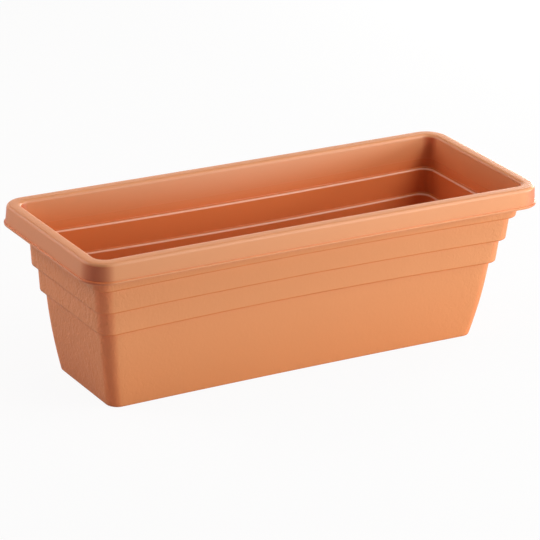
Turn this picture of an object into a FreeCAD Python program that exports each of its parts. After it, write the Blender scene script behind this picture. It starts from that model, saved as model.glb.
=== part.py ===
import FreeCAD, Part
import math
import os
from collections import namedtuple

# Window box planter: one moulded trough with a rolled rim, three stepped bands, a tapered body and a
# floor lifted off the ground, with pull-out drain plugs in the floor. Millimetres, +Z up. The origin is
# on the ground under the middle of the trough. X runs along the box and Y across it, front at -Y.

# Overall size, measured over the lip bead
length = 610.0
width = 238.0
height = 200.0
wall = 2.2

# Rolled rim: an upside-down U with a bead along the foot of its skirt
rim_width = 17.2
rim_depth = 24.6
rim_outer_round = 6.0
rim_inner_round = 4.0
skirt_draft = 1.6
lip_stand_out = 1.5
lip_height = 3.2
lip_round = 1.4
lip_corner = 30.5
rim_bow = 1.4

# Stepped bands, from the rim down. A bow is how far the long sides draw in at mid-length.
band_one_drop = 42.5
band_height = 30.0
band_one_draft = 4.2
band_draft = 2.1
ledge = 5.1
ledge_round = 2.2
trough_corner = 16.0
band_one_bow = 6.0
band_two_bow = 7.3
band_three_bow = 8.8

# Tapered body, foot and floor
body_end_taper = 16.4
body_side_taper = 11.6
body_bulge = 1.5
base_corner = 14.0
base_bow = 2.4
base_round = 2.0
foot_width = 5.0
floor_lift = 6.0
floor_thickness = 2.4
floor_round = 4.0
rib_thickness = 1.8
ground_gap = 1.5

# Drain holes, each with a collar under the floor and a shallow seat on top of it
hole_columns = 3
hole_rows = 2
hole_pitch_x = 165.0
hole_pitch_y = 72.0
hole_diameter = 16.0
collar_wall = 2.5
seat_depth = 1.0
seat_clearance = 0.5

# Drain plugs
plug_clearance = 0.15
flange_diameter = 25.0
flange_thickness = 2.0
flange_round = 0.6
barrel_wall = 1.6
barrel_lead_in = 1.0
barrel_recess = 0.8
tab_length = 15.0
tab_width = 3.0
tab_height = 9.0
tab_round = 5.0

# How far a cutting solid runs past the faces that it cuts
overrun = 1.0

# An edge this near to a level's outline counts as following it
edge_reach = 0.1

Level = namedtuple("Level", "end_inset side_inset z corner bow")


def level(inset, z, corner, bow):
    """Level with one inset from the lip outline on all four sides."""
    return Level(inset, inset, z, corner, bow)


def inside(lv, inward, raised=0.0):
    """The same level moved inwards and up, as the inner face of a wall is."""
    corner = max(lv.corner - inward, wall / 2)
    return Level(lv.end_inset + inward, lv.side_inset + inward, lv.z + raised, corner, lv.bow)


def outline(lv):
    """Closed wire of a level: straight ends, long sides bowed inwards, tangent corner arcs."""
    half_length = length / 2 - lv.end_inset
    half_width = width / 2 - lv.side_inset
    corner_x = half_length - lv.corner
    bow_radius = (corner_x ** 2 + lv.bow ** 2) / (2 * lv.bow)
    bow_centre = half_width - lv.bow + bow_radius
    corner_y = bow_centre - math.sqrt((bow_radius + lv.corner) ** 2 - corner_x ** 2)
    to_side = FreeCAD.Vector(-corner_x, bow_centre - corner_y, 0).normalize() * lv.corner
    to_middle = (to_side + FreeCAD.Vector(lv.corner, 0, 0)).normalize() * lv.corner

    def at(x, y):
        return FreeCAD.Vector(x, y, lv.z)

    def end_point(sx, sy):
        return at(sx * half_length, sy * corner_y)

    def side_point(sx, sy):
        return at(sx * (corner_x + to_side.x), sy * (corner_y + to_side.y))

    def corner_arc(sx, sy):
        middle = at(sx * (corner_x + to_middle.x), sy * (corner_y + to_middle.y))
        ends = [end_point(sx, sy), side_point(sx, sy)]
        if sx * sy < 0:
            ends.reverse()
        return Part.Arc(ends[0], middle, ends[1]).toShape()

    def half_round_trip(s):
        straight_end = Part.makeLine(end_point(s, -s), end_point(s, s))
        bowed_middle = at(0, s * (half_width - lv.bow))
        bowed_side = Part.Arc(side_point(s, s), bowed_middle, side_point(-s, s)).toShape()
        return [straight_end, corner_arc(s, s), bowed_side, corner_arc(-s, s)]

    return Part.Wire(half_round_trip(1) + half_round_trip(-1))


def taper(top, bottom):
    """Solid whose walls run straight from one level to the other."""
    return Part.makeLoft([outline(top), outline(bottom)], True, True)


def rounded(shape, radius, lv, reach=edge_reach):
    """The shape with every edge that follows the outline of a level rounded off."""
    path = outline(lv)
    edges = []
    for edge in shape.Edges:
        middle = edge.valueAt((edge.FirstParameter + edge.LastParameter) / 2)
        if abs(middle.z - lv.z) < reach and path.distToShape(Part.Vertex(middle))[0] < reach:
            edges.append(edge)
    return shape.makeFillet(radius, edges)


# Heights and insets of the trough's outer wall
band_one_z = height - band_one_drop
band_two_z = band_one_z - band_height
band_three_z = band_two_z - band_height
mouth_inset = lip_stand_out + rim_width - wall
band_one_inset = mouth_inset + band_one_draft
band_two_inset = band_one_inset + ledge + band_draft
band_three_inset = band_two_inset + ledge + band_draft
body_inset = band_three_inset + ledge
floor_top = floor_lift + floor_thickness
seat_z = floor_top - seat_depth
lip_bottom = height - rim_depth

mouth = level(mouth_inset, height - wall, trough_corner, rim_bow)
band_one = level(band_one_inset, band_one_z, trough_corner, band_one_bow)
band_two_top = level(band_one_inset + ledge, band_one_z, trough_corner, band_one_bow)
band_two = level(band_two_inset, band_two_z, trough_corner, band_two_bow)
band_three_top = level(band_two_inset + ledge, band_two_z, trough_corner, band_two_bow)
band_three = level(band_three_inset, band_three_z, trough_corner, band_three_bow)
bands = [(mouth, band_one), (band_two_top, band_two), (band_three_top, band_three)]


def body_level(z):
    """Level of the tapered body at a height: its wall swells a little between the bands and the base."""
    share = 1 - z / band_three_z
    swell = 4 * body_bulge * share * (1 - share)
    end_inset = body_inset + body_end_taper * share - swell
    side_inset = body_inset + body_side_taper * share - swell
    corner = trough_corner + (base_corner - trough_corner) * share
    return Level(end_inset, side_inset, z, corner, band_three_bow + (base_bow - band_three_bow) * share)


def tapered_body(top, middle, bottom):
    """Solid whose walls curve smoothly through three levels."""
    return Part.makeLoft([outline(top), outline(middle), outline(bottom)], True, False)


body_top = body_level(band_three_z)
body_middle = body_level(band_three_z / 2)
base = body_level(0.0)


def outer_form():
    """The trough from outside, as if it were solid, up to the underside of the rim."""
    form = tapered_body(body_top, body_middle, base).fuse([taper(top, bottom) for top, bottom in bands])
    for edge_level in (band_one, band_two, band_three):
        form = rounded(form, ledge_round, edge_level)
    return rounded(form, base_round, base)


def inner_form():
    """The space inside the trough, from the floor to above the rim."""
    body = tapered_body(
        inside(body_top, wall, wall), inside(body_middle, wall), inside(body_level(floor_top), wall))
    steps = [taper(inside(top, wall, wall), inside(bottom, wall, wall)) for top, bottom in bands[1:]]
    throat = taper(inside(mouth, wall, wall + overrun), inside(band_one, wall, wall))
    form = body.fuse(steps + [throat])
    for edge_level in (band_two_top, band_three_top, body_top):
        form = rounded(form, ledge_round, inside(edge_level, wall, wall))
    return rounded(form, floor_round, inside(body_level(floor_top), wall))


def rolled_rim():
    """Skirt, lip bead and top of the rim, hollow underneath."""
    skirt_foot = level(lip_stand_out, lip_bottom, lip_corner - lip_stand_out, rim_bow)
    skirt_top = inside(skirt_foot, skirt_draft, rim_depth)
    bead_foot = level(0.0, lip_bottom, lip_corner, rim_bow)
    bead_top = inside(bead_foot, 0.0, lip_height)
    skirt = rounded(taper(skirt_top, skirt_foot), rim_outer_round, skirt_top)
    bead = rounded(taper(bead_top, bead_foot), lip_round, bead_foot)
    bead = rounded(bead, lip_round, bead_top)
    channel_top = inside(skirt_top, wall, -wall)
    channel = taper(channel_top, inside(skirt_foot, wall, -overrun))
    channel = rounded(channel, max(rim_outer_round - wall, wall), channel_top)
    return skirt.fuse(bead).cut(channel)


def hole_centres():
    """Plan positions of the drain holes, row by row from the front left."""
    centres = []
    for row in range(hole_rows):
        for column in range(hole_columns):
            x = (column - (hole_columns - 1) / 2) * hole_pitch_x
            y = (row - (hole_rows - 1) / 2) * hole_pitch_y
            centres.append((x, y))
    return centres


def disc(radius, bottom, top, centre):
    """Upright cylinder between two heights."""
    return Part.makeCylinder(radius, top - bottom, FreeCAD.Vector(centre[0], centre[1], bottom))


def floor_recess():
    """The hollow under the floor, inside the foot."""
    roof = inside(base, foot_width, floor_lift)
    return taper(roof, inside(base, foot_width, -overrun))


def underside_ribs():
    """Ribs under the floor, one along the box and one between each pair of hole columns."""
    depth = floor_top - ground_gap
    corner = FreeCAD.Vector(-length / 2, -rib_thickness / 2, ground_gap)
    ribs = [Part.makeBox(length, rib_thickness, depth, corner)]
    for gap in range(1, hole_columns):
        x = (gap - hole_columns / 2) * hole_pitch_x
        corner = FreeCAD.Vector(x - rib_thickness / 2, -width / 2, ground_gap)
        ribs.append(Part.makeBox(rib_thickness, width, depth, corner))
    return [rib.common(floor_recess()) for rib in ribs]


def planter_shell():
    """The whole moulding."""
    shell = rolled_rim().fuse(outer_form()).cut(inner_form())
    shell = rounded(shell, rim_inner_round, inside(mouth, wall, wall), reach=wall / 4)
    shell = shell.cut(floor_recess())
    hole_radius = hole_diameter / 2
    collars = [disc(hole_radius + collar_wall, ground_gap, seat_z, centre) for centre in hole_centres()]
    shell = shell.fuse(underside_ribs() + collars)
    seat_radius = flange_diameter / 2 + seat_clearance
    for centre in hole_centres():
        hole = disc(hole_radius, ground_gap - overrun, floor_top + overrun, centre)
        seat = disc(seat_radius, seat_z, floor_top + overrun, centre)
        shell = shell.cut([hole, seat])
    return shell


def pull_tab(centre):
    """Upright tab on a plug's flange, rounded along its top corners."""
    bottom = seat_z + flange_thickness / 2
    rise = tab_height + flange_thickness / 2
    corner = FreeCAD.Vector(centre[0] - tab_length / 2, centre[1] - tab_width / 2, bottom)
    tab = Part.makeBox(tab_length, tab_width, rise, corner)
    ends = [edge for edge in tab.Edges if abs(edge.BoundBox.YLength - tab_width) < tab_width / 10
            and edge.BoundBox.ZMin > bottom + rise / 2]
    return tab.makeFillet(tab_round, ends)


def drain_plug(centre):
    """Flange on the floor, hollow barrel in the hole, tab on top."""
    barrel_bottom = ground_gap + barrel_recess
    barrel_radius = hole_diameter / 2 - plug_clearance
    flange = disc(flange_diameter / 2, seat_z, seat_z + flange_thickness, centre)
    rim_edges = [edge for edge in flange.Edges if edge.BoundBox.ZMin > seat_z + flange_thickness / 2]
    flange = flange.makeFillet(flange_round, rim_edges)
    barrel = disc(barrel_radius, barrel_bottom, seat_z + flange_thickness / 2, centre)
    foot_edges = [edge for edge in barrel.Edges if edge.BoundBox.ZMax < barrel_bottom + barrel_wall / 2]
    barrel = barrel.makeChamfer(barrel_lead_in, foot_edges)
    hollow = disc(barrel_radius - barrel_wall, barrel_bottom - overrun, seat_z, centre)
    return flange.fuse([barrel, pull_tab(centre)]).cut(hollow)


def save(shape, name):
    """Write one piece and report it."""
    solid = shape.removeSplitter().Solids[0]
    solid.exportStep(os.path.join("parts", name + ".step"))
    print(name, "valid" if solid.isValid() else "NOT VALID", "solids", len(shape.Solids),
          "volume cm3", round(solid.Volume / 1000, 1))


os.makedirs("parts", exist_ok=True)
save(planter_shell(), "planter_shell")
for number, hole_centre in enumerate(hole_centres(), start=1):
    save(drain_plug(hole_centre), "drain_plug_" + str(number))
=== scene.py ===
import math
import bpy
import numpy as np
from mathutils import Matrix, Vector, noise
from mathutils.geometry import tessellate_polygon


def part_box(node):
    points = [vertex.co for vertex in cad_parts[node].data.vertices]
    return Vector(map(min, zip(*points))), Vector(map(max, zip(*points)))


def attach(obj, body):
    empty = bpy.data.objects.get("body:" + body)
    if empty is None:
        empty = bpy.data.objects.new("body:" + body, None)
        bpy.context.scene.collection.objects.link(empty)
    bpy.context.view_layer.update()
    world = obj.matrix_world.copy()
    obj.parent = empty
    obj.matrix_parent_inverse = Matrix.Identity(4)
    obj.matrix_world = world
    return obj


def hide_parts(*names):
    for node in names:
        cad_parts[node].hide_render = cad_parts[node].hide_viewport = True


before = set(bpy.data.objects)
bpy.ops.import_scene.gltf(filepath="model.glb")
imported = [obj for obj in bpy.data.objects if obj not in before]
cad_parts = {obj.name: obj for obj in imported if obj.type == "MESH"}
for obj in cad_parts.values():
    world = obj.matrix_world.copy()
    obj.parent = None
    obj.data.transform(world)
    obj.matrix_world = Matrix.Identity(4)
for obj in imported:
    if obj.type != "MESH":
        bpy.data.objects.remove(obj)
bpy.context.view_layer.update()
mm = 0.001


class Sock:
    # one output socket, so that 1 - mask or noise * 0.4 adds its own Math node
    def __init__(self, finish, socket):
        self.finish = finish
        self.socket = socket

    def maths(self, operation, first, second):
        return self.finish.node("ShaderNodeMath", {"operation": operation}, {0: first, 1: second})

    def __add__(self, other):
        return self.maths("ADD", self, other)

    def __radd__(self, other):
        return self.maths("ADD", other, self)

    def __sub__(self, other):
        return self.maths("SUBTRACT", self, other)

    def __rsub__(self, other):
        return self.maths("SUBTRACT", other, self)

    def __mul__(self, other):
        return self.maths("MULTIPLY", self, other)

    def __rmul__(self, other):
        return self.maths("MULTIPLY", other, self)


class Finish:
    # a node tree under construction, for a material or the world
    def __init__(self, owner):
        self.owner = owner
        owner.use_nodes = True
        self.tree = owner.node_tree
        self.tree.nodes.clear()

    def feed(self, socket, value):
        if isinstance(value, Sock):
            self.tree.links.new(value.socket, socket)
        else:
            socket.default_value = value

    def node(self, kind, settings=None, sockets=None, out=0):
        # settings go first, because they can change which sockets a node has
        made = self.tree.nodes.new(kind)
        for key, value in (settings or {}).items():
            setattr(made, key, value)
        for key, value in (sockets or {}).items():
            self.feed(made.inputs[key], value)
        return Sock(self, made.outputs[out]) if len(made.outputs) else None

    def blend(self, factor, first, second):
        # a mix of colours, which Math nodes would turn grey
        return self.node("ShaderNodeMix", {"data_type": "RGBA"}, {0: factor, 6: first, 7: second}, out=2)

    def noise(self, perMetre, detail=2.0, roughness=0.5, distortion=0.0):
        # perMetre is the number of blotches in a metre along X, Y and Z
        place = self.node("ShaderNodeTexCoord", out="Object")
        stretched = self.node("ShaderNodeVectorMath", {"operation": "MULTIPLY"}, {0: place, 1: perMetre})
        return self.node("ShaderNodeTexNoise", None, {
            "Vector": stretched, "Scale": 1.0, "Detail": detail,
            "Roughness": roughness, "Distortion": distortion})

    def clamped(self, value):
        return self.node("ShaderNodeClamp", None, {"Value": value})

    def painted(self, name):
        return self.node("ShaderNodeAttribute", {"attribute_name": name}, out="Fac")

    def close(self, kind, **shaders):
        self.node(kind, None, shaders)
        return self.owner


def screenColour(red, green, blue):
    # an 8-bit screen colour as the linear colour that a shader takes
    def one(value):
        share = value / 255
        return share / 12.92 if share <= 0.04045 else ((share + 0.055) / 1.055) ** 2.4
    return (one(red), one(green), one(blue), 1.0)


# the camera stands to the front left and looks down, tipped a little to one side
view = {
    "azimuth": -31.82,
    "elevation": 21.71,
    "roll": 2.35,
    "distance": 3.475,
    "aim": (0.0014, 0.0078, 0.0998),
    "lens": 196.05,
}


def placeCamera():
    turn, rise, roll = (math.radians(view[key]) for key in ("azimuth", "elevation", "roll"))
    back = Vector((math.sin(turn) * math.cos(rise), -math.cos(turn) * math.cos(rise), math.sin(rise)))
    level = Vector((math.cos(turn), math.sin(turn), 0))
    upright = back.cross(level)
    right = math.cos(roll) * level + math.sin(roll) * upright
    up = math.cos(roll) * upright - math.sin(roll) * level
    lens = bpy.data.cameras.new("productCamera")
    lens.lens = view["lens"]
    lens.sensor_width = 36.0
    camera = bpy.data.objects.new("productCamera", lens)
    camera.matrix_world = Matrix((right, up, back)).transposed().to_4x4()
    camera.location = Vector(view["aim"]) + view["distance"] * back
    bpy.context.scene.collection.objects.link(camera)
    bpy.context.scene.camera = camera


placeCamera()
print("camera placed")


class Skin:
    # gathers rings of points into one mesh, with values painted on the points
    def __init__(self, masks=()):
        self.points = []
        self.faces = []
        self.masks = {name: [] for name in masks}

    def ring(self, points, **values):
        first = len(self.points)
        self.points.extend(points)
        for name, painted in self.masks.items():
            painted.extend(np.broadcast_to(values.get(name, 0.0), len(points)))
        return list(range(first, len(self.points)))

    def bridge(self, first, second):
        for index in range(len(first)):
            after = (index + 1) % len(first)
            self.faces.append((first[index], first[after], second[after], second[index]))

    def sweep(self, rings):
        for first, second in zip(rings, rings[1:]):
            self.bridge(first, second)

    def cover(self, outer, holes=()):
        # a flat face between an outer ring and the rings of its holes
        loops = [outer, *holes]
        flat = [point for loop in loops for point in loop]
        placed = [[Vector(self.points[point]) for point in loop] for loop in loops]
        for triangle in tessellate_polygon(placed):
            self.faces.append(tuple(flat[corner] for corner in triangle))

    def build(self, name, body, replaced, material):
        mesh = bpy.data.meshes.new(name)
        mesh.from_pydata([tuple(point) for point in self.points], [], self.faces)
        for mask, painted in self.masks.items():
            mesh.attributes.new(mask, "FLOAT", "POINT").data.foreach_set("value", painted)
        mesh.shade_smooth()
        mesh.materials.append(material)
        piece = bpy.data.objects.new(name, mesh)
        bpy.context.scene.collection.objects.link(piece)
        bpy.context.view_layer.objects.active = piece
        piece.select_set(True)
        bpy.ops.object.mode_set(mode="EDIT")
        bpy.ops.mesh.select_all(action="SELECT")
        bpy.ops.mesh.normals_make_consistent(inside=False)
        bpy.ops.object.mode_set(mode="OBJECT")
        piece.select_set(False)
        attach(piece, body)
        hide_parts(replaced)
        return piece


rounding = {
    "reach": 0.46,                # the most of a run that an arc takes
    "support": 1.35,              # how far the supports stand off, in arc lengths
    "supportGap": 0.1 * mm,
    "supportReach": 0.5,
    "degreesPerStep": 16,
}


def roundedPath(stops, plane):
    # stops are (point, radius); a corner with a radius becomes an arc between two supports.
    # The answer is a list of (point, bend): up to 1 on the arc of an outside corner, -1 in a crease.
    path = [(stops[0][0], 0.0)]
    for (before, _), (here, radius), (after, _) in zip(stops, stops[1:], stops[2:]):
        if radius == 0:
            path.append((here, 0.0))
            continue
        coming = (here - before)[plane]
        going = (after - here)[plane]
        comingLength = np.linalg.norm(coming)
        goingLength = np.linalg.norm(going)
        half = math.acos(np.clip(-(coming @ going) / (comingLength * goingLength), -1, 1)) / 2
        shorter = min(comingLength, goingLength)
        setBack = min(radius / math.tan(half), rounding["reach"] * shorter)
        support = min(rounding["support"] * setBack + rounding["supportGap"],
                      rounding["supportReach"] * shorter)
        toBefore = (before - here) / comingLength
        toAfter = (after - here) / goingLength
        start = here + toBefore * setBack
        end = here + toAfter * setBack
        turning = math.copysign(1, coming[0] * going[1] - coming[1] * going[0])
        weight = math.sin(half)
        steps = max(3, round((math.pi - 2 * half) / math.radians(rounding["degreesPerStep"])))
        path.append((here + toBefore * support, 0.0))
        for t in np.linspace(0, 1, steps + 1):
            shares = np.array([(1 - t) ** 2, 2 * t * (1 - t) * weight, t ** 2])
            blended = shares[0] * start + shares[1] * here + shares[2] * end
            path.append((blended / shares.sum(), turning * 4 * t * (1 - t)))
        path.append((here + toAfter * support, 0.0))
    path.append((stops[-1][0], 0.0))
    return path


def circle(radius, z, centre, count):
    angles = np.linspace(0, 2 * math.pi, count, endpoint=False)
    x = centre[0] + radius * np.cos(angles)
    y = centre[1] + radius * np.sin(angles)
    return np.c_[x, y, np.full(count, z)]


# the trough: one moulding with a rolled rim, stepped bands, a tapered body and a lifted floor
trough = {
    "wall": 2.2 * mm,
    "rimWidth": 17.2 * mm,
    "rimDepth": 24.6 * mm,
    "rimOuterRound": 6.0 * mm,
    "rimInnerRound": 4.0 * mm,
    "rimCrown": 0.5 * mm,         # how far the rim's top falls off to its two edges
    "rimCrownRound": 90.0 * mm,
    "skirtDraft": 1.6 * mm,
    "lipStandOut": 1.5 * mm,
    "lipHeight": 3.2 * mm,
    "lipRound": 1.4 * mm,
    "lipCorner": 30.5 * mm,
    "rimBow": 1.4 * mm,
    "bandOneDrop": 42.5 * mm,
    "bandHeight": 30.0 * mm,
    "bandOneDraft": 4.2 * mm,
    "bandDraft": 2.1 * mm,
    "ledge": 5.1 * mm,
    "ledgeRound": 2.2 * mm,
    "corner": 16.0 * mm,
    "bandBows": (6.0 * mm, 7.3 * mm, 8.8 * mm),
    "bodyEndTaper": 16.4 * mm,
    "bodySideTaper": 11.6 * mm,
    "bodyBulge": 1.5 * mm,
    "baseCorner": 14.0 * mm,
    "baseBow": 2.4 * mm,
    "baseRound": 2.0 * mm,
    "footWidth": 5.0 * mm,
    "floorLift": 6.0 * mm,
    "floorThickness": 2.4 * mm,
    "floorRound": 4.0 * mm,
    "crease": 0.6 * mm,           # radius of the tight inside creases
    "trim": 0.4 * mm,             # radius of the small outside edges
    "floorMargin": 12.0 * mm,     # how far the last inner ring stands in from the walls
    "wander": 0.18 * mm,          # how far the walls are out of true
    "wanderLength": 55.0 * mm,
    "wanderFoot": 4.0 * mm,       # the height at which it starts
    "wanderRim": 1.2,             # where it ends below the top, in rim depths
    "wanderFade": 20.0 * mm,
    "grainRoof": 2.0 * mm,        # how far the grain runs out over the hollow's roof
    "grainFoot": 0.5 * mm,        # and how near the ground it ends
    "shadeGain": 1.5,             # how soon a sloping wall counts as a ledge
    "smoothShade": 0.6,           # the shade on smooth plastic, as a share of that in the grain
    "bodyRings": 14,
    "pointsAlong": 72,
    "pointsAcross": 24,
    "pointsRoundCorner": 10,
}
drain = {
    "columns": 3,
    "rows": 2,
    "pitchX": 165.0 * mm,
    "pitchY": 72.0 * mm,
    "holeRadius": 8.0 * mm,
    "collarWall": 2.5 * mm,
    "seatRadius": 13.0 * mm,
    "seatDepth": 1.0 * mm,
    "plateRing": 1.5 * mm,        # how far the hole's first and last rings stand out into the floor
    "groundGap": 1.5 * mm,
    "ribThickness": 1.8 * mm,
    "ribRootFlare": 0.8 * mm,
    "ribFootRound": 0.5 * mm,
    "ribStations": 25,
    "ribSink": 1.2 * mm,          # how far the ends and roots of the ribs run into the walls they meet
    "pointsRound": 56,
}
lowest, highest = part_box("planter_shell")
halfLength = (highest.x - lowest.x) / 2
halfWidth = (highest.y - lowest.y) / 2
rimTop = highest.z
insetPlane = [0, 2]
floorTop = trough["floorLift"] + trough["floorThickness"]
bandThreeZ = rimTop - trough["bandOneDrop"] - 2 * trough["bandHeight"]


def level(inset, z, corner, bow):
    # end inset, side inset, height, corner radius and bow: arrays, so that levels can be mixed
    return np.array([inset, inset, z, corner, bow])


def inside(lv, inward, raised=0.0):
    moved = lv + np.array([inward, inward, raised, -inward, 0])
    moved[3] = max(moved[3], trough["wall"] / 2)
    return moved


def ringPoints(lv):
    # straight ends, long sides that bow inwards, tangent corner arcs
    endInset, sideInset, z, corner, bow = lv
    a = halfLength - endInset
    cornerX = a - corner
    bowRadius = (cornerX ** 2 + bow ** 2) / (2 * bow)
    bowCentre = halfWidth - sideInset - bow + bowRadius
    cornerY = bowCentre - math.sqrt((bowRadius + corner) ** 2 - cornerX ** 2)
    sweep = math.atan2(bowCentre - cornerY, -cornerX)
    angles = np.linspace(0, sweep, trough["pointsRoundCorner"] + 1)
    arc = np.c_[cornerX + corner * np.cos(angles), cornerY + corner * np.sin(angles)]
    endY = np.linspace(-cornerY, cornerY, trough["pointsAcross"] + 1)[1:-1]
    sideX = np.linspace(arc[-1, 0], -arc[-1, 0], trough["pointsAlong"] + 1)[1:-1]
    side = np.c_[sideX, bowCentre - np.sqrt(bowRadius ** 2 - sideX ** 2)]
    mirroredArc = arc[::-1] * (-1, 1)
    halfRing = np.vstack([np.c_[np.full(len(endY), a), endY], arc, side, mirroredArc])
    points = np.vstack([halfRing, -halfRing])
    return np.c_[points, np.full(len(points), z)]


def aroundRing(onEnds, onArcs, onSides):
    # a value for each point of a ring; onArcs holds those of the first corner, from an end to a side
    ends = np.full(trough["pointsAcross"] - 1, onEnds)
    sides = np.full(trough["pointsAlong"] - 1, onSides)
    halfRing = np.concatenate([ends, onArcs, sides, onArcs[::-1]])
    return np.concatenate([halfRing, halfRing])


def bodyLevel(z):
    share = 1 - z / bandThreeZ
    swell = 4 * trough["bodyBulge"] * share * (1 - share)
    bodyInset = bands()[-1][1][0] + trough["ledge"]
    corner = trough["corner"] + (trough["baseCorner"] - trough["corner"]) * share
    bow = trough["bandBows"][-1] + (trough["baseBow"] - trough["bandBows"][-1]) * share
    return np.array([bodyInset + trough["bodyEndTaper"] * share - swell,
                     bodyInset + trough["bodySideTaper"] * share - swell, z, corner, bow])


def bands():
    # (top, bottom) of each band's outer wall, from the rim down
    inset = trough["lipStandOut"] + trough["rimWidth"] - trough["wall"]
    z = rimTop - trough["bandOneDrop"]
    top = level(inset, rimTop - trough["wall"], trough["corner"], trough["rimBow"])
    drafts = (trough["bandOneDraft"], trough["bandDraft"], trough["bandDraft"])
    found = []
    for draft, bow in zip(drafts, trough["bandBows"]):
        inset += draft
        found.append((top, level(inset, z, trough["corner"], bow)))
        inset += trough["ledge"]
        top = level(inset, z, trough["corner"], bow)
        z -= trough["bandHeight"]
    return found


def innerStops():
    # from the floor up the inner wall to the rim
    wall = trough["wall"]
    floorCorner = inside(bodyLevel(floorTop), wall)
    stops = [(inside(floorCorner, trough["floorMargin"]), 0), (floorCorner, trough["floorRound"])]
    for z in np.linspace(floorTop, bandThreeZ, trough["bodyRings"] + 1)[1:-1]:
        stops.append((inside(bodyLevel(z), wall), 0))
    stops.append((inside(bodyLevel(bandThreeZ), wall, wall), trough["ledgeRound"]))
    for top, bottom in reversed(bands()[1:]):
        stops.append((inside(bottom, wall, wall), trough["crease"]))
        stops.append((inside(top, wall, wall), trough["ledgeRound"]))
    top, bottom = bands()[0]
    stops.append((inside(bottom, wall, wall), trough["crease"]))
    stops.append((inside(top, wall, wall - trough["rimCrown"]), trough["rimInnerRound"]))
    return stops


def rimStops():
    # over the rim, down the skirt, round the lip bead and up into the hollow under the rim
    lipBottom = rimTop - trough["rimDepth"]
    footCorner = trough["lipCorner"] - trough["lipStandOut"]
    foot = level(trough["lipStandOut"], lipBottom, footCorner, trough["rimBow"])
    skirtTop = inside(foot, trough["skirtDraft"], trough["rimDepth"] - trough["rimCrown"])
    innerTop = innerStops()[-1][0]
    crown = (innerTop + skirtTop) / 2
    crown[2] = rimTop
    notchShare = trough["lipHeight"] / (skirtTop[2] - foot[2])
    notch = foot + (skirtTop - foot) * notchShare
    beadFoot = level(0, lipBottom, trough["lipCorner"], trough["rimBow"])
    beadTop = inside(beadFoot, 0, trough["lipHeight"])
    channelFoot = inside(foot, trough["wall"])
    channelTop = inside(skirtTop, trough["wall"], -trough["wall"])
    return [
        (crown, trough["rimCrownRound"]),
        (skirtTop, trough["rimOuterRound"]),
        (notch, trough["crease"]),
        (beadTop, trough["lipRound"]),
        (beadFoot, trough["lipRound"]),
        (channelFoot, trough["trim"]),
        (channelTop, trough["rimOuterRound"] - trough["wall"]),
    ]


def outerStops():
    # from the roof of the hollow down the bands and the body to the foot
    stops = []
    for top, bottom in bands():
        stops.append((top, trough["crease"]))
        stops.append((bottom, trough["ledgeRound"]))
    stops.append((bodyLevel(bandThreeZ), trough["crease"]))
    for z in np.linspace(bandThreeZ, 0, trough["bodyRings"] + 1)[1:-1]:
        stops.append((bodyLevel(z), 0))
    stops.append((bodyLevel(0), trough["baseRound"]))
    return stops


def underStops():
    # the foot and the recess under the floor
    footInside = inside(bodyLevel(0), trough["footWidth"])
    recess = inside(footInside, 0, trough["floorLift"])
    return [(footInside, trough["trim"]), (recess, trough["crease"]),
            (inside(recess, trough["floorMargin"]), 0)]


def wandered(points):
    # hot plastic never sets dead true: the walls wander a little between the foot and the rim
    z = points[0][2]
    fadesAt = rimTop - trough["wanderRim"] * trough["rimDepth"]
    foot = min(max((z - trough["wanderFoot"]) / trough["wanderFade"], 0), 1)
    rim = min(max((fadesAt - z) / trough["wanderFade"], 0), 1)
    along = np.roll(points, -1, axis=0) - np.roll(points, 1, axis=0)
    outward = np.c_[along[:, 1], -along[:, 0], np.zeros(len(along))]
    outward /= np.linalg.norm(outward, axis=1)[:, None]
    depth = [noise.noise(Vector(point) / trough["wanderLength"]) for point in points]
    return points + outward * np.array(depth)[:, None] * trough["wander"] * foot * rim


def holeCentres():
    centres = []
    for row in range(drain["rows"]):
        for column in range(drain["columns"]):
            centres.append(((column - (drain["columns"] - 1) / 2) * drain["pitchX"],
                            (row - (drain["rows"] - 1) / 2) * drain["pitchY"]))
    return centres


def holeStops():
    # radius and height down through the seat and the hole, and back up the collar
    seatZ = floorTop - drain["seatDepth"]
    collar = drain["holeRadius"] + drain["collarWall"]
    corners = [
        (drain["seatRadius"] + drain["plateRing"], floorTop, 0),
        (drain["seatRadius"], floorTop, trough["trim"]),
        (drain["seatRadius"], seatZ, trough["trim"] / 2),
        (drain["holeRadius"], seatZ, trough["trim"]),
        (drain["holeRadius"], drain["groundGap"], trough["trim"]),
        (collar, drain["groundGap"], trough["trim"]),
        (collar, trough["floorLift"], trough["crease"]),
        (collar + drain["plateRing"], trough["floorLift"], 0),
    ]
    return [(np.array([radius, z]), turn) for radius, z, turn in corners]


def addRib(skin, start, end):
    # a rib under the floor, flared where it meets the plate and rounded along its foot
    half = drain["ribThickness"] / 2
    plate = trough["floorLift"]
    top = plate + drain["ribSink"]
    flared = half + drain["ribRootFlare"]
    root = plate - drain["ribRootFlare"]
    foot = drain["groundGap"]
    turn = drain["ribFootRound"]
    side = [
        (flared, plate),
        ((flared + 2 * half) / 3, (plate + 2 * root) / 3),
        (half, root),
        (half, foot + turn),
        (half - 0.3 * turn, foot + 0.3 * turn),
        (half - turn, foot),
    ]
    outline = [(flared, top)] + side + [(-across, z) for across, z in reversed(side)] + [(-flared, top)]
    start, end = Vector(start), Vector(end)
    direction = (end - start).normalized()
    across = Vector((-direction.y, direction.x, 0))
    stations = [start.lerp(end, share) for share in np.linspace(0, 1, drain["ribStations"])]
    rings = [skin.ring([tuple(place + across * offset + Vector((0, 0, z))) for offset, z in outline])
             for place in stations]
    skin.sweep(rings)
    skin.faces.append(tuple(rings[0]))
    skin.faces.append(tuple(reversed(rings[-1])))


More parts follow.
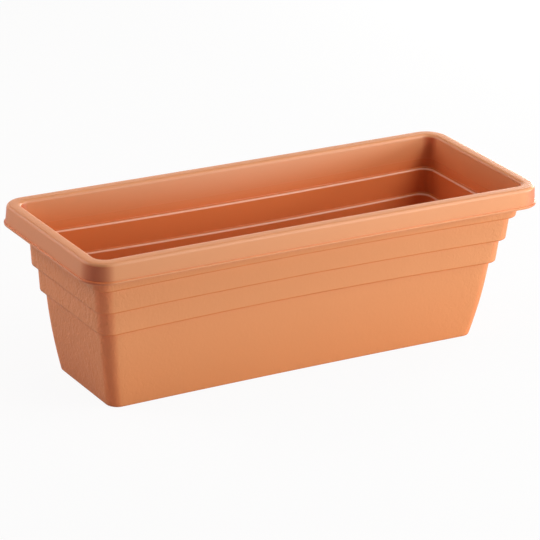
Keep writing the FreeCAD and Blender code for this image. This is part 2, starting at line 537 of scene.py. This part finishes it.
def buildTrough(material):
    skin = Skin(("grain", "inside", "shaded", "corner", "end", "edge"))
    quarter = np.linspace(0, math.pi / 2, trough["pointsRoundCorner"] + 1)
    # the corner mask places the painted shade on the outer corners
    corner = aroundRing(0, np.sin(2 * quarter), 0)
    end = aroundRing(1, np.cos(quarter) ** 2, 0)
    outer = outerStops()
    path = roundedPath(innerStops() + rimStops() + outer + underStops(), insetPlane)
    outerStart = outer[0][0][0]
    rings = []
    passedTop = False
    passedLip = False
    for (before, _), (lv, bend), (after, _) in zip([path[0]] + path, path, path[1:] + [path[-1]]):
        inset, z = lv[insetPlane]
        passedTop = passedTop or z > rimTop - trough["rimInnerRound"] - trough["rimCrown"]
        passedLip = passedLip or inset < trough["lipStandOut"] / 2
        grained = passedLip and inset > outerStart - trough["grainRoof"] and z > trough["grainFoot"]
        # the ledges' undersides, the lip's top and the creases hold the shade
        shaded = 0
        if passedTop and z < rimTop - trough["rimDepth"] / 2:
            inward, down = (after - before)[insetPlane]
            slope = abs(inward) / math.hypot(inward, down)
            shaded = max(min(trough["shadeGain"] * slope, 1), -bend)
        shaded *= 1 if grained else trough["smoothShade"]
        # painted shade on the corners of the outer walls and the skirt, not on the rim's top
        upright = passedTop and (grained or z < rimTop - trough["rimOuterRound"] / 2)
        # the edge mask carries a painted highlight on the rounded edges inside
        rings.append(skin.ring(
            wandered(ringPoints(lv)), grain=float(grained), inside=float(not passedTop), shaded=shaded,
            corner=corner * upright, end=end, edge=0 if passedLip else max(bend, 0)))
    skin.sweep(rings)
    tops, bottoms = [], []
    for centre in holeCentres():
        loops = [skin.ring(circle(radius, z, centre, drain["pointsRound"]), inside=1.0)
                 for (radius, z), _ in roundedPath(holeStops(), [0, 1])]
        skin.sweep(loops)
        tops.append(loops[0])
        bottoms.append(loops[-1])
    skin.cover(rings[0], tops)
    skin.cover(rings[-1], bottoms)
    base = bodyLevel(0)
    reachX = halfLength - base[0] - trough["footWidth"] + drain["ribSink"]
    reachY = halfWidth - base[1] - trough["footWidth"] - trough["baseBow"] + drain["ribSink"]
    addRib(skin, (-reachX, 0, 0), (reachX, 0, 0))
    for gap in range(1, drain["columns"]):
        x = (gap - drain["columns"] / 2) * drain["pitchX"]
        addRib(skin, (x, -reachY, 0), (x, reachY, 0))
    return skin.build("windowBoxTrough", "trough", "planter_shell", material)


# the drain plugs: a flange on the floor, a hollow barrel in the hole and a tab to pull
plug = {
    "flangeRadius": 12.5 * mm,
    "flangeThickness": 2.0 * mm,
    "flangeRound": 0.6 * mm,
    "barrelRadius": 7.85 * mm,
    "barrelWall": 1.6 * mm,
    "barrelBottom": 2.3 * mm,
    "leadIn": 1.0 * mm,
    "tabLength": 15.0 * mm,
    "tabWidth": 3.0 * mm,
    "tabHeight": 9.0 * mm,
    "tabRound": 5.0 * mm,
    "tabEdgeRound": 0.8 * mm,
    "rootFillet": 0.8 * mm,
    "gripDepth": 0.25 * mm,
    "gripHeights": (3.4 * mm, 5.0 * mm, 6.6 * mm),
    "gripHalf": 0.5 * mm,
    "middle": 1.0 * mm,           # radius of the first and last rings
    "seatRound": 0.25 * mm,
    "leadInRound": 0.3 * mm,
    "mouthRound": 0.2 * mm,
    "roofRound": 0.5 * mm,
    "tabSink": 0.4 * mm,          # how far the tab runs down into the flange
    "tabMargin": 1.2 * mm,        # where the even rings of the tab start and end
    "rootRings": 5,
    "tabRings": 34,
    "crownRings": 7,
    "cornerSteps": 6,
    "pointsRound": 64,
}


def plugStops():
    # radius and height from the middle of the flange round to the roof of the hollow
    seatZ = floorTop - drain["seatDepth"]
    flangeTop = seatZ + plug["flangeThickness"]
    hollow = plug["barrelRadius"] - plug["barrelWall"]
    corners = [
        (plug["middle"], flangeTop, 0),
        (plug["flangeRadius"], flangeTop, plug["flangeRound"]),
        (plug["flangeRadius"], seatZ, plug["seatRound"]),
        (plug["barrelRadius"], seatZ, plug["seatRound"]),
        (plug["barrelRadius"], plug["barrelBottom"] + plug["leadIn"], plug["leadInRound"]),
        (plug["barrelRadius"] - plug["leadIn"], plug["barrelBottom"], plug["seatRound"]),
        (hollow, plug["barrelBottom"], plug["mouthRound"]),
        (hollow, seatZ, plug["roofRound"]),
        (plug["middle"], seatZ, 0),
    ]
    return [(np.array([radius, z]), turn) for radius, z, turn in corners]


def tabRing(height, centre, baseZ):
    # a rounded rectangle at one height of the tab, which narrows over its top and flares at its root
    def narrowed(half, turn):
        # half a width that closes in along an arc below the top
        above = max(height - plug["tabHeight"] + turn, 0)
        return half - turn + math.sqrt(max(turn ** 2 - above ** 2, 0))
    halfLong = narrowed(plug["tabLength"] / 2, plug["tabRound"])
    halfThick = narrowed(plug["tabWidth"] / 2, plug["tabEdgeRound"])
    for grip in plug["gripHeights"]:
        reach = min(abs(height - grip) / plug["gripHalf"], 1)
        halfThick -= plug["gripDepth"] * (1 + math.cos(math.pi * reach)) / 2
    root = max(plug["rootFillet"] - height, 0)
    flare = plug["rootFillet"] - math.sqrt(max(plug["rootFillet"] ** 2 - root ** 2, 0))
    halfLong += flare
    halfThick += flare
    turn = min(plug["tabEdgeRound"] + flare, 0.98 * halfThick)
    points = []
    for quarter in range(4):
        cornerX = (halfLong - turn) * (1 if quarter in (0, 3) else -1)
        cornerY = (halfThick - turn) * (1 if quarter in (0, 1) else -1)
        for step in range(plug["cornerSteps"] + 1):
            angle = (quarter + step / plug["cornerSteps"]) * math.pi / 2
            points.append((centre[0] + cornerX + turn * math.cos(angle),
                           centre[1] + cornerY + turn * math.sin(angle), baseZ + height))
    return points


def buildPlug(number, centre, material):
    skin = Skin(("edge",))
    loops = [skin.ring(circle(radius, z, centre, plug["pointsRound"]), edge=max(bend, 0))
             for (radius, z), bend in roundedPath(plugStops(), [0, 1])]
    skin.sweep(loops)
    skin.faces.append(tuple(loops[0]))
    skin.faces.append(tuple(reversed(loops[-1])))
    flangeTop = floorTop - drain["seatDepth"] + plug["flangeThickness"]
    top = plug["tabHeight"]
    heights = [-plug["tabSink"], *np.linspace(0, plug["rootFillet"], plug["rootRings"])]
    heights += [*np.linspace(plug["tabMargin"], top - plug["tabMargin"], plug["tabRings"])]
    heights += [top - plug["tabEdgeRound"] * (1 - math.sin(share * math.pi / 2))
                for share in np.linspace(0, 1, plug["crownRings"])]
    rings = [skin.ring(tabRing(max(height, 0), centre, flangeTop + min(height, 0)))
             for height in heights]
    skin.sweep(rings)
    skin.faces.append(tuple(reversed(rings[0])))
    skin.faces.append(tuple(rings[-1]))
    return skin.build("drainPlug" + str(number), "plug_" + str(number),
                      "drain_plug_" + str(number), material)


# terracotta-coloured plastic: grained on the outer walls, smooth on the rim, smooth inside, with painted
# shade: a deeper colour over the whole inside
terracotta = {
    "grained": screenColour(226, 155, 104),
    # painted shade: the outer corners are painted deeper and redder, in place of the shade that falls
    # there
    "grainedCornerShade": screenColour(245, 140, 92),
    "rim": screenColour(223, 152, 103),
    "rimCornerShade": screenColour(196, 88, 52),
    "cornerShadeShare": 0.8,
    # painted shade: the inside is painted deeper than the rim and the outer walls
    "inside": screenColour(214, 119, 67),
    "streak": screenColour(198, 112, 62),
    "streakShare": 0.10,
    "shade": screenColour(222, 124, 58),
    # painted highlight: a pale colour on the rounded edges inside, the ledges above all
    "edge": screenColour(250, 212, 186),
    "edgeShare": 0.55,
    "rimRoughness": 0.42,
    "insideRoughness": 0.22,
    "grainRoughness": 0.46,
    "cloudRoughness": 0.1,         # how much the roughness of the grain changes with the clouds
    "shine": 0.5,                  # specular level of the rim
    "dullShine": 0.1,              # and of the duller plastic that is mixed in elsewhere
    "insideDull": 0.5,             # its share inside
    "grainDull": 0.3,              # on the grained walls
    "shadeDull": 0.665,            # and added in their creases
    "clouds": (9, 9, 9),           # blotches in a metre along X, Y and Z
    "creases": (175, 175, 165),
    "pits": (560, 560, 430),
    "patches": (26, 26, 26),
    "peel": (160, 160, 160),
    "creaseShare": 0.85,           # of the grain's height, the rest is pits
    "patchLeast": 0.4,             # how bold the grain is between the patches
    "patchRange": 1.2,
    "grainDepth": 2.8 * mm,
    "middleDepth": 0.05,           # the grain's depth at mid-length, as a share of the whole
    "sideDepth": 0.3,              # how much is added along the sides towards their ends
    "endDepth": 0.45,              # and on the two end walls
    "peelDepth": 0.01 * mm,        # of the faint waves in the smooth plastic
}


def terracottaPlastic():
    finish = Finish(bpy.data.materials.new("terracottaPlastic"))
    grain = finish.painted("grain")
    inside = finish.painted("inside")
    shaded = finish.painted("shaded")
    clouds = finish.noise(terracotta["clouds"], detail=3.0)
    creases = finish.noise(terracotta["creases"], detail=1.0, distortion=0.9)
    pits = finish.noise(terracotta["pits"], detail=2.0)
    patches = finish.noise(terracotta["patches"], detail=1.0)
    peel = finish.noise(terracotta["peel"], detail=1.0)
    # the grain is bolder towards the ends, and uneven
    place = finish.node("ShaderNodeTexCoord", out="Object")
    along = finish.node("ShaderNodeSeparateXYZ", None, {"Vector": place}) * (1 / halfLength)
    squared = along * along
    onEnds = finish.painted("end") * terracotta["endDepth"]
    bold = grain * (terracotta["middleDepth"] + squared * squared * terracotta["sideDepth"] + onEnds)
    # painted shade on the outer corners: a deeper, redder colour where they turn
    corner = finish.painted("corner") * terracotta["cornerShadeShare"]
    onRim = finish.blend(corner, terracotta["rim"], terracotta["rimCornerShade"])
    onWalls = finish.blend(corner, terracotta["grained"], terracotta["grainedCornerShade"])
    colour = finish.blend(grain, onRim, onWalls)
    # painted shade over the whole inside
    colour = finish.blend(inside, colour, terracotta["inside"])
    mottle = (clouds + bold * (0.5 - creases)) * terracotta["streakShare"]
    colour = finish.blend(mottle, colour, terracotta["streak"])
    colour = finish.blend(shaded, colour, terracotta["shade"])
    # painted highlight on the rounded edges inside
    paintedInnerEdgeHighlight = finish.painted("edge") * inside * terracotta["edgeShare"]
    colour = finish.blend(paintedInnerEdgeHighlight, colour, terracotta["edge"])
    glossier = terracotta["rimRoughness"] - terracotta["insideRoughness"]
    rougher = terracotta["grainRoughness"] - terracotta["rimRoughness"]
    uneven = (clouds - 0.5) * terracotta["cloudRoughness"]
    roughness = terracotta["rimRoughness"] - inside * glossier + grain * (uneven + rougher)
    pattern = creases * terracotta["creaseShare"] + pits * (1 - terracotta["creaseShare"])
    boldness = bold * (terracotta["patchLeast"] + patches * terracotta["patchRange"])
    relief = pattern * boldness * terracotta["grainDepth"] * (1 - shaded)
    height = relief + peel * (1 - grain) * terracotta["peelDepth"]
    bump = finish.node("ShaderNodeBump", None, {"Height": height, "Distance": 1.0})
    # two plastics that differ in shine alone, because a specular level has to be one number
    rest = {"Base Color": colour, "Roughness": roughness, "Normal": bump}
    shiny = finish.node("ShaderNodeBsdfPrincipled", None, {
        **rest, "Specular IOR Level": terracotta["shine"]})
    duller = finish.node("ShaderNodeBsdfPrincipled", None, {
        **rest, "Specular IOR Level": terracotta["dullShine"]})
    inGrain = grain * (terracotta["grainDull"] + shaded * terracotta["shadeDull"])
    dull = inside * terracotta["insideDull"] + inGrain
    surface = finish.node("ShaderNodeMixShader", None, {0: dull, 1: shiny, 2: duller})
    return finish.close("ShaderNodeOutputMaterial", Surface=surface)


# the plugs' plastic: the same, in a deeper shade and with a finer skin
plugFinish = {
    "deep": screenColour(178, 98, 58),
    "pale": screenColour(192, 112, 70),
    "edge": screenColour(206, 132, 90),
    "edgeShare": 0.35,
    "clouds": (60, 60, 60),
    "fine": (1200, 1200, 1200),
    "fineDepth": 0.05 * mm,
    "roughness": 0.42,
    "roughnessRange": 0.12,
}


def plugPlastic():
    finish = Finish(bpy.data.materials.new("plugPlastic"))
    clouds = finish.noise(plugFinish["clouds"], detail=3.0)
    fine = finish.noise(plugFinish["fine"], detail=2.0)
    edge = finish.painted("edge") * plugFinish["edgeShare"]
    colour = finish.blend(clouds, plugFinish["deep"], plugFinish["pale"])
    colour = finish.blend(edge, colour, plugFinish["edge"])
    bump = finish.node("ShaderNodeBump", None, {
        "Height": fine, "Distance": plugFinish["fineDepth"], "Strength": 1.0})
    roughness = plugFinish["roughness"] + clouds * plugFinish["roughnessRange"]
    shader = finish.node("ShaderNodeBsdfPrincipled", None, {
        "Base Color": colour, "Roughness": roughness, "Normal": bump})
    return finish.close("ShaderNodeOutputMaterial", Surface=shader)


buildTrough(terracottaPlastic())
print("trough built")
plugMaterial = plugPlastic()
for number, centre in enumerate(holeCentres(), start=1):
    buildPlug(number, centre, plugMaterial)
print("drain plugs built")

# the studio: a white floor that keeps a faint shadow, a white world and softboxes all round
studio = {
    "floorHalf": 9.0,
    "floorColour": screenColour(215, 214, 212),
    "floorGlow": 0.93,            # how far the floor is pure white to the camera
    "mirroredGlow": 0.5,          # and the share of that in reflections
    "backdropGlow": 2.0,
    "backdropRise": 8.0,          # how sharply the backdrop starts above the horizon
    "backdropFade": 5.0,          # and how sharply it ends
    "backdropHeight": 2.2,
    "backdropSpread": 2.0,        # how sharply it starts round the sides
    "backdropSide": 0.5,
    "warmth": (1.0, 0.76, 0.74),  # of the light that comes back from the left
    "softboxDistance": 2.2,
    "softboxTarget": (0, 0, 0.1),
}


def softbox(turn, rise, power, wide=1.0, tall=0.6, colour=(1, 1, 1)):
    # the direction goes round from the front and up, in degrees; the power is in watts
    return {"turn": turn, "rise": rise, "power": power, "wide": wide, "tall": tall, "colour": colour}


softboxes = {
    "rightBackLow": softbox(120, 8, 40.0),
    "rightFrontLow": softbox(60, 8, 28.5),
    "rightHigh": softbox(58, 46, 17.0, wide=1.2, tall=0.8),
    "above": softbox(0, 88, 12.5, wide=2.4, tall=1.6),
    "front": softbox(30, 22, 17.5),
    "back": softbox(205, 27, 5.0),
    "leftBack": softbox(240, 38, 13.8, colour=studio["warmth"]),
    "leftBackLow": softbox(240, 22, 7.0, colour=studio["warmth"]),
}


def rayKinds(finish):
    # whether a ray comes straight from the camera, by a reflection or through glass
    kinds = ("Is Camera Ray", "Is Glossy Ray", "Is Transmission Ray")
    return [finish.node("ShaderNodeLightPath", out=kind) for kind in kinds]


def buildFloor():
    half = studio["floorHalf"]
    corners = [(-half, -half, 0), (half, -half, 0), (half, half, 0), (-half, half, 0)]
    mesh = bpy.data.meshes.new("studioFloor")
    mesh.from_pydata(corners, [], [(0, 1, 2, 3)])
    finish = Finish(bpy.data.materials.new("whiteFloor"))
    direct, glossy, passing = rayKinds(finish)
    matt = finish.node("ShaderNodeBsdfDiffuse", None, {"Color": studio["floorColour"]})
    glow = finish.node("ShaderNodeEmission", None, {"Color": (1, 1, 1, 1), "Strength": 1.0})
    seen = (direct + (glossy + passing) * studio["mirroredGlow"]) * studio["floorGlow"]
    surface = finish.node("ShaderNodeMixShader", None, {0: seen, 1: matt, 2: glow})
    mesh.materials.append(finish.close("ShaderNodeOutputMaterial", Surface=surface))
    floor = bpy.data.objects.new("studioFloor", mesh)
    bpy.context.scene.collection.objects.link(floor)


def lightWorld():
    world = bpy.data.worlds.new("studioWorld")
    bpy.context.scene.world = world
    finish = Finish(world)
    direct, glossy, passing = rayKinds(finish)
    # reflections show it behind the box only, as they would show a white backdrop there
    direction = finish.node("ShaderNodeTexCoord", out="Generated")
    behind = finish.node("ShaderNodeSeparateXYZ", None, {"Vector": direction}, out="Y")
    above = finish.node("ShaderNodeSeparateXYZ", None, {"Vector": direction}, out="Z")
    bottom = finish.clamped(above * studio["backdropRise"])
    top = finish.clamped(studio["backdropHeight"] - above * studio["backdropFade"])
    sides = finish.clamped(behind * studio["backdropSpread"] - studio["backdropSide"])
    backdrop = sides * bottom * top
    strength = direct + passing + glossy * backdrop * studio["backdropGlow"]
    background = finish.node("ShaderNodeBackground", None, {"Color": (1, 1, 1, 1), "Strength": strength})
    finish.close("ShaderNodeOutputWorld", Surface=background)


def hangSoftbox(name, box):
    turn, rise = math.radians(box["turn"]), math.radians(box["rise"])
    away = Vector((math.sin(turn) * math.cos(rise), -math.cos(turn) * math.cos(rise), math.sin(rise)))
    lamp = bpy.data.lights.new(name, "AREA")
    lamp.shape = "RECTANGLE"
    lamp.size = box["wide"]
    lamp.size_y = box["tall"]
    lamp.energy = box["power"]
    lamp.color = box["colour"]
    hung = bpy.data.objects.new(name, lamp)
    hung.location = Vector(studio["softboxTarget"]) + away * studio["softboxDistance"]
    hung.rotation_euler = away.to_track_quat("Z", "Y").to_euler()
    bpy.context.scene.collection.objects.link(hung)


buildFloor()
lightWorld()
for name, box in softboxes.items():
    hangSoftbox(name, box)
bpy.context.scene.view_settings.view_transform = "Standard"
print("studio lit")
